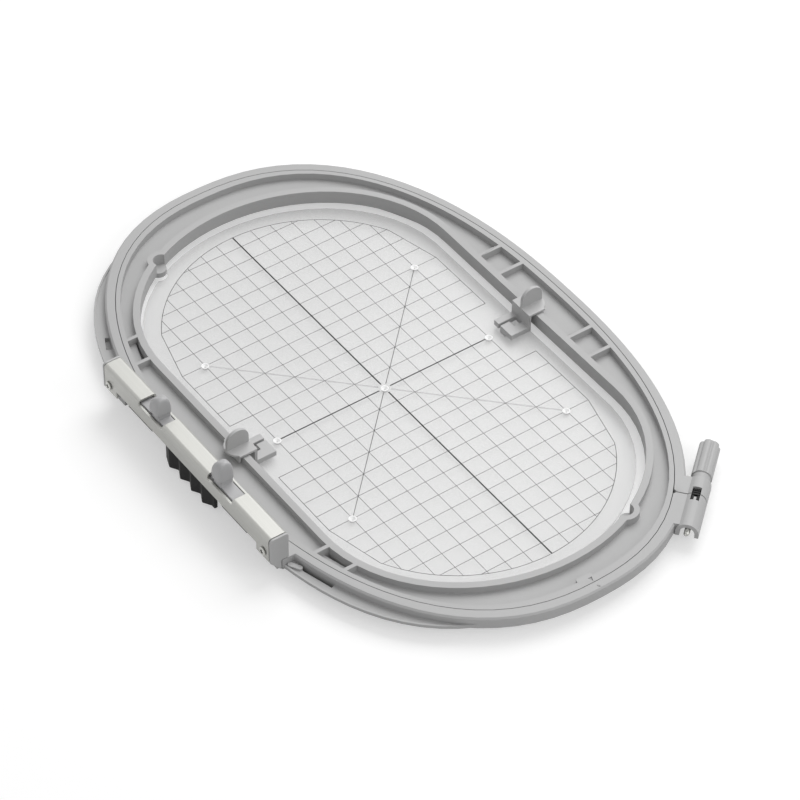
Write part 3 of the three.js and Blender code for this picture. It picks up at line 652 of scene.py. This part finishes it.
printed_grid()
DIAGONAL = MARK_STEP * math.sqrt(2) - MARK_RADIUS
printed_lines("printed_long_axis", axis_ink, 0.75, [(1, 0), (-1, 0)], ARC_CENTRE + ARC_RADIUS)
printed_lines("printed_cross_axis", axis_ink, 0.65, [(0, 1), (0, -1)], MARK_STEP - MARK_RADIUS)
printed_lines("printed_diagonal", grid_ink, 0.32, [(-1, 1), (1, -1)], DIAGONAL)
# These diagonals are drawn a millimetre wide and pale: their print and a painted shadow of it on the table,
# in one line.
printed_lines("printed_diagonal_and_painted_shadow", diagonal_ink_with_painted_shadow, 1.0, [(1, 1), (-1, -1)], DIAGONAL)


def printed_mark(x, y):
    """A printed ring round a marking hole, lined with a small white funnel for the pen's tip."""
    lining = [(HOLE_RADIUS, -1.45), (HOLE_RADIUS, 0), (MARK_RADIUS, 0), (MARK_RADIUS, INK)]
    funnel = [(0.4, -2), (0.4, -0.9), (1.3, 0.01), (1.3, 1)]
    obj = combine(turned(lining, 32), turned(funnel, 32), "DIFFERENCE")
    return placed(obj, Matrix.Translation((GRID + Vector((x, y, 0))) * MM))


all_marks = join([printed_mark(x, y) for x, y in marks])
settle(all_marks, "printed_marks", white_ink, "template")

# Side rail
moulding("rail_cover", "rail_cover_drawn", 0.22)
moulding("coupling_comb", "coupling_comb_moulding", 0.5)
for side in ("left", "right"):
    moulding(f"rail_end_block_{side}", f"rail_end_block_{side}_moulding", 0.4, clip_plastic)
    moulding(f"release_slider_{side}", f"release_slider_{side}_moulding", 0.3, tab_plastic)
    moulding(f"latch_bar_{side}", f"latch_bar_{side}_moulding", 0.2)


def cross_recess(width, reach, depth):
    """A cutter for a cross recess, narrower at its foot. It stands a little out of the head that it cuts."""
    proud = 0.4
    foot_share = 0.55
    bars = []
    for turn in (0, 90):
        bpy.ops.mesh.primitive_cube_add(
            size=1,
            location=(0, 0, (proud - depth) / 2 * MM),
            rotation=(0, 0, math.radians(turn)),
            scale=(2 * reach * MM, width * MM, (depth + proud) * MM),
        )
        bar = bpy.context.active_object
        bpy.ops.object.transform_apply(location=True, rotation=True, scale=True)
        for point in bar.data.vertices:
            if point.co.z < -depth / 2 * MM:
                point.co.x *= foot_share
                point.co.y *= foot_share
        bars.append(bar)
    return combine(bars[0], bars[1], "UNION")


def recessed_screw(node, place, head, head_height, shank, length):
    """A pan-head screw with a cross recess, turned on Z and put where place says, with its head's top there.
    head and shank are radii."""
    stations = [
        (shank * 0.5, -length),
        (shank, -length + 0.7),
        (shank, -head_height),
        (head, -head_height),
        (head, -head_height * 0.45),
        (head * 0.93, -head_height * 0.15),
        (head * 0.78, 0),
    ]
    recess = cross_recess(width=head * 0.36, reach=head * 0.64, depth=min(1.9, length / 3))
    obj = placed(combine(turned(stations, 40), recess, "DIFFERENCE"), place)
    return settle(obj, node + "_cross", steel, rides_on[node], node, smooth=25)


def outward(node, axis):
    """The place of a screw's head: the middle of its box's side on an axis, and the turn that faces it."""
    low, high = (Vector(corner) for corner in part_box(node))
    middle = (low + high) / 2
    if axis == "-y":
        return Matrix.Translation((middle.x, low.y, middle.z)) @ Matrix.Rotation(math.radians(90), 4, "X")
    return Matrix.Translation((middle.x, middle.y, low.z)) @ Matrix.Rotation(math.radians(180), 4, "X")


for side in ("left", "right"):
    node = f"cover_screw_{side}"
    recessed_screw(node, outward(node, "-y"), head=2.1, head_height=0.8, shank=1.2, length=6.3)
    node = f"base_screw_{side}"
    recessed_screw(node, outward(node, "-z"), head=2.08, head_height=1.6, shank=1.1, length=9.4)

# Screw clamp
SHANK = 1.4


def thread_ridge(depth, pitch, low, turns):
    """A ridge that winds up Z, sunk a little into the shank that carries it."""
    bpy.ops.object.select_all(action="DESELECT")
    bpy.ops.mesh.primitive_circle_add(vertices=3, radius=MM, fill_type="NOTHING", location=(0, 0, 0))
    obj = bpy.context.active_object
    foot = SHANK - depth
    width = pitch * 0.84
    profile = [(foot, low), (SHANK, low + width / 2), (foot, low + width)]
    for point, (radius, height) in zip(obj.data.vertices, profile):
        point.co = Vector((radius, 0, height)) * MM
    screw = obj.modifiers.new("thread", "SCREW")
    screw.screw_offset = pitch * MM
    screw.iterations = turns
    screw.steps = 16
    screw.render_steps = 16
    bpy.ops.object.modifier_apply(modifier="thread")
    bpy.ops.object.mode_set(mode="EDIT")
    bpy.ops.mesh.select_all(action="SELECT")
    bpy.ops.mesh.fill_holes(sides=4)
    bpy.ops.mesh.select_all(action="SELECT")
    bpy.ops.mesh.normals_make_consistent(inside=False)
    bpy.ops.object.mode_set(mode="OBJECT")
    return obj


# The shank is plain inside the knob and the lugs, and thinner where the thread winds round it.
shank = [(SHANK, -21.6), (SHANK, 12.2), (1.2, 12.6), (1.2, 31.5), (0.85, 32), (0.4, 32), (0.1, 31.7)]
shank = placed(turned(shank, 40), along_screw)
settle(shank, "clamp_screw_shank", steel, "clamp", "clamp_screw")
ridge = placed(thread_ridge(depth=0.26, pitch=0.7, low=12.5, turns=27), along_screw)
settle(ridge, "clamp_screw_thread", steel, "clamp", smooth=20)

KNOB_RADIUS = 4.9
FLUTES = 6
FLUTE_DEPTH = 0.95
# Degrees from a flute's middle to where it is about a third as deep, and how far it is turned.
FLUTE_SPREAD = 10
FLUTE_TURN = 15


def fluted_knob():
    """The knob: a plain tapering collar, six narrow flutes, and a chamfered end."""
    stations = [
        (3.8, 0.3),
        (4.0, 0.5),
        (4.3, 4.2),
        (4.75, 4.25),
        (KNOB_RADIUS, 4.4),
        (KNOB_RADIUS, 24.6),
        (4.75, 24.9),
        (2.9, 26.4),
        (2.6, 26.6),
    ]
    obj = turned(stations, 120)
    flute_foot, flute_end = 4.3, 25
    pitch = 360 / FLUTES
    for point in obj.data.vertices:
        turn = math.degrees(math.atan2(point.co.y, point.co.x)) - FLUTE_TURN
        off = (turn + pitch / 2) % pitch - pitch / 2
        if flute_foot < point.co.z / MM < flute_end:
            dip = FLUTE_DEPTH * math.exp(-((off / FLUTE_SPREAD) ** 2))
            point.co.x *= 1 - dip / KNOB_RADIUS
            point.co.y *= 1 - dip / KNOB_RADIUS
    bore = turned([(SHANK + 0.3, 0), (SHANK + 0.3, 22.6)], 40)
    return combine(obj, bore, "DIFFERENCE")


knob = placed(fluted_knob(), along_knob)
settle(knob, "clamp_knob_fluted", hoop_plastic, "clamp", "clamp_knob", smooth=22)
moulding("clamp_nut", "clamp_nut_square", 0.2)


def fork_top(obj):
    """The fork's ribbed head and its prongs, which stand up beside the screw."""
    half, half_gap = 1.7, 0.7
    head = block((7.3, -half, 1.75), (10.9, half, 4.5), 0.15)
    for x in (8.2, 9.4):
        groove = block((x, -half - 1, 4.1), (x + 0.5, half + 1, 6))
        combine(head, groove, "DIFFERENCE")
    pieces = [head]
    for side in (-1, 1):
        low, high = sorted((side * half_gap, side * half))
        pieces.append(block((10.4, low, 0.4), (14.9, high, 4.2), 0.15))
    for piece in pieces:
        combine(obj, placed(piece, clamp_frame), "UNION")
    gap = block((12.3, -half_gap, -0.6), (15.4, half_gap, 5))
    return combine(obj, placed(gap, clamp_frame), "DIFFERENCE")


moulding("clamp_retainer", "clamp_fork", 0.12, shape=fork_top)

# Floor, light and camera
FLOOR_WHITE = 0.28
FLOOR_GLOW = 1.6
FLOOR_CLOUD = 333.3


def seen(holder):
    """1 for what the camera sees, straight, mirrored or through glass."""
    path = add_node(holder, "ShaderNodeLightPath").outputs
    largest = {"operation": "MAXIMUM"}
    either = add_node(
        holder, "ShaderNodeMath", largest, n0=path["Is Camera Ray"], n1=path["Is Glossy Ray"]
    )
    return add_node(
        holder, "ShaderNodeMath", largest, n0=either.outputs[0], n1=path["Is Transmission Ray"]
    ).outputs[0]


def pale_floor():
    """A plain pale floor. What the camera sees of it has a share of its own white, under which the object's
    shadow still shows."""
    m = new_material("studio floor, matt white")
    place = add_node(m, "ShaderNodeTexCoord").outputs["Object"]
    cloud = add_node(m, "ShaderNodeTexNoise", Vector=place, Scale=pattern_scale(FLOOR_CLOUD))
    dull = add_node(m, "ShaderNodeMapRange", Value=cloud.outputs["Fac"], To_Min=0.85, To_Max=0.9)
    dull = dull.outputs["Result"]
    pale = add_node(m, "ShaderNodeBsdfDiffuse", Color=linear("cfcfcf"), Roughness=dull)
    lit = add_node(m, "ShaderNodeBsdfDiffuse", Color=linear("f8f8f8"), Roughness=dull)
    white = add_node(m, "ShaderNodeEmission", Color=linear("ffffff"), Strength=FLOOR_GLOW)
    shown = add_node(m, "ShaderNodeMixShader", n0=FLOOR_WHITE, n1=lit.outputs[0], n2=white.outputs[0])
    floor_look = add_node(m, "ShaderNodeMixShader", n0=seen(m), n1=pale.outputs[0], n2=shown.outputs[0])
    add_node(m, "ShaderNodeOutputMaterial", Surface=floor_look.outputs[0])
    return m


# The floor lies a little below the hoop, so that no two faces share a plane.
bpy.ops.mesh.primitive_plane_add(size=8, location=(0, 0, -0.4 * MM))
floor = bpy.context.active_object
floor.name = "floor"
floor.data.materials.append(pale_floor())

SKY = 0.45
world = bpy.data.worlds.new("studio")
bpy.context.scene.world = world
world.use_nodes = True
world.node_tree.nodes.clear()
sky = add_node(world, "ShaderNodeBackground", Color=linear("ffffff"), Strength=SKY)
backdrop = add_node(world, "ShaderNodeBackground", Color=linear("ffffff"), Strength=1.0)
studio = add_node(world, "ShaderNodeMixShader", n0=seen(world), n1=sky.outputs[0], n2=backdrop.outputs[0])
add_node(world, "ShaderNodeOutputWorld", Surface=studio.outputs[0])


def soft_box(name, location, side, power):
    """A square lamp that faces the hoop's middle, its place and side in metres, its power in watts."""
    light = bpy.data.lights.new(name, "AREA")
    light.shape = "RECTANGLE"
    light.size = light.size_y = side
    light.energy = power
    obj = bpy.data.objects.new(name, light)
    bpy.context.scene.collection.objects.link(obj)
    obj.location = location
    obj.rotation_euler = (-Vector(location)).to_track_quat("-Z", "Y").to_euler()
    return obj


soft_box("key", (-0.35, 0.78, 1.3), 1.3, 17)
soft_box("fill", (1.3, 0.35, 0.8), 1.0, 3.8)

# The camera's lens, place in metres and turn in degrees, as solved from the crossings of the printed grid.
camera_data = bpy.data.cameras.new("camera")
camera_data.lens = 153.053
camera_data.sensor_width = 36
camera = bpy.data.objects.new("camera", camera_data)
bpy.context.scene.collection.objects.link(camera)
camera.location = (0.91685, -0.65666, 1.09771)
camera.rotation_euler = tuple(map(math.radians, (45.7325, -0.5868, 54.5225)))
bpy.context.scene.camera = camera

bpy.context.scene.view_settings.view_transform = "Standard"
